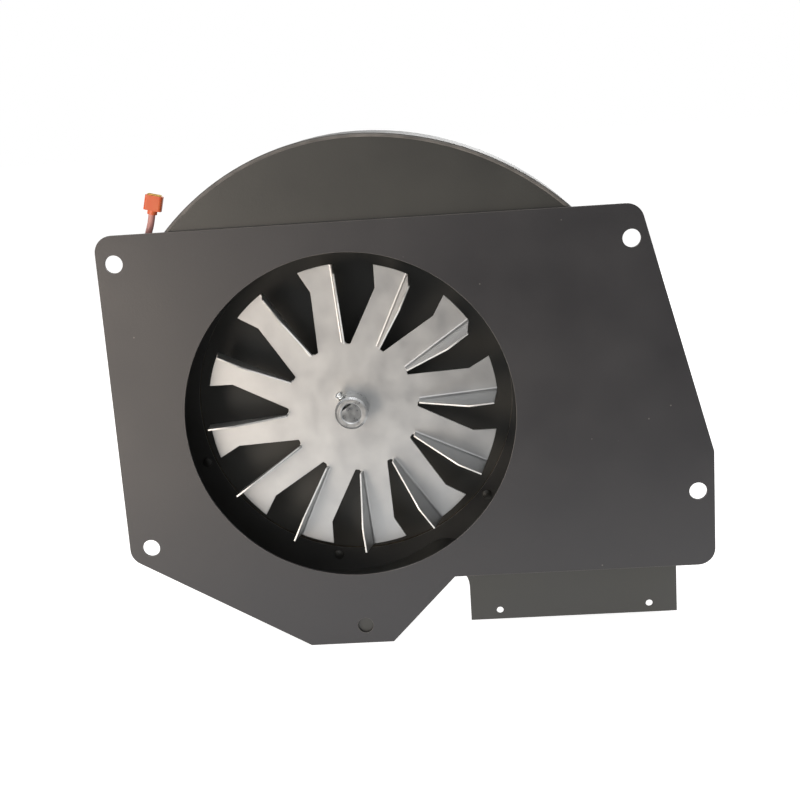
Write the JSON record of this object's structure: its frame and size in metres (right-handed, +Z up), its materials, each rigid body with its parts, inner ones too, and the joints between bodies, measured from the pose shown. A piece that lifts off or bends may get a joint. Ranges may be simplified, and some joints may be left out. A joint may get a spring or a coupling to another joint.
{
  "type": "exhaust blower",
  "caption": "Centrifugal exhaust blower: flat steel mounting plate with round inlet, scroll housing with downward outlet, stamped paddle impeller and open-frame motor.",
  "frame": {"origin": "centre of the round air inlet, on the front face of the mounting plate", "axes": "+X to the right and +Z up as seen from the inlet side, +Y from the plate back along the shaft to the motor; the outlet points along -Z"},
  "size_m": [0.2445, 0.1419, 0.2128],
  "materials": {
    "plate_paint": "satin black paint on sheet steel",
    "housing_paint": "satin black paint on sheet steel",
    "gasket_fibre": "pressed fibre, dull",
    "zinc_steel": "bright zinc plate",
    "black_oxide": "black oxide over steel, oiled",
    "die_cast": "as cast, dull",
    "sintered_bronze": "sintered, oil soaked",
    "spring_steel": "bright rolled",
    "lamination_steel": "stacked sheets, varnished",
    "copper": "drawn copper, dulled",
    "bobbin_nylon": "moulded nylon",
    "coil_tape": "film tape wrapped in turns",
    "terminal_brass": "stamped brass",
    "lead_insulation": "extruded insulation",
    "sleeve_vinyl": "moulded vinyl",
    "ground_steel": "turned and ground",
    "cast_aluminium": "die cast on the rotor",
    "thrust_nylon": "moulded nylon",
    "aluminised_sheet": "aluminised sheet, bright sheared edges",
    "fan_plastic": "moulded plastic"
  },
  "bodies": {
    "housing": {"mounting_plate": "plate_paint", "scroll_front_wall": "housing_paint", "scroll_wrapper": "housing_paint", "scroll_back_wall": "housing_paint", "motor_gasket": "gasket_fibre", "motor_plate": "housing_paint", "motor_plate_screws": "black_oxide", "motor_studs": "zinc_steel", "standoff_sleeves": "zinc_steel", "stud_nuts": "zinc_steel", "front_bracket": "die_cast", "rear_bracket": "die_cast", "front_bearing": "sintered_bronze", "rear_bearing": "sintered_bronze", "bearing_retainers": "spring_steel", "stator_core": "lamination_steel", "coil_bar": "lamination_steel", "core_rivets": "zinc_steel", "shading_rings": "copper", "coil_bobbin": "bobbin_nylon", "coil_winding": "copper", "coil_tape": "coil_tape", "spare_terminal_blade": "terminal_brass", "lead_wire": "lead_insulation", "lead_terminal": "terminal_brass", "terminal_sleeve": "sleeve_vinyl"},
    "rotor": {"motor_shaft": "ground_steel", "rotor_core": "lamination_steel", "rotor_end_rings": "cast_aluminium", "thrust_sleeves": "thrust_nylon", "impeller": "aluminised_sheet", "impeller_hub": "ground_steel", "hub_set_screw": "zinc_steel", "cooling_fan": "fan_plastic", "fan_push_nut": "spring_steel"}
  },
  "joints": [
    {"name": "rotor_spin", "type": "hinge", "parent": "housing", "child": "rotor", "pos_m": [0, 0, 0], "axis": [0, 1, 0], "continuous": true}
  ]
}
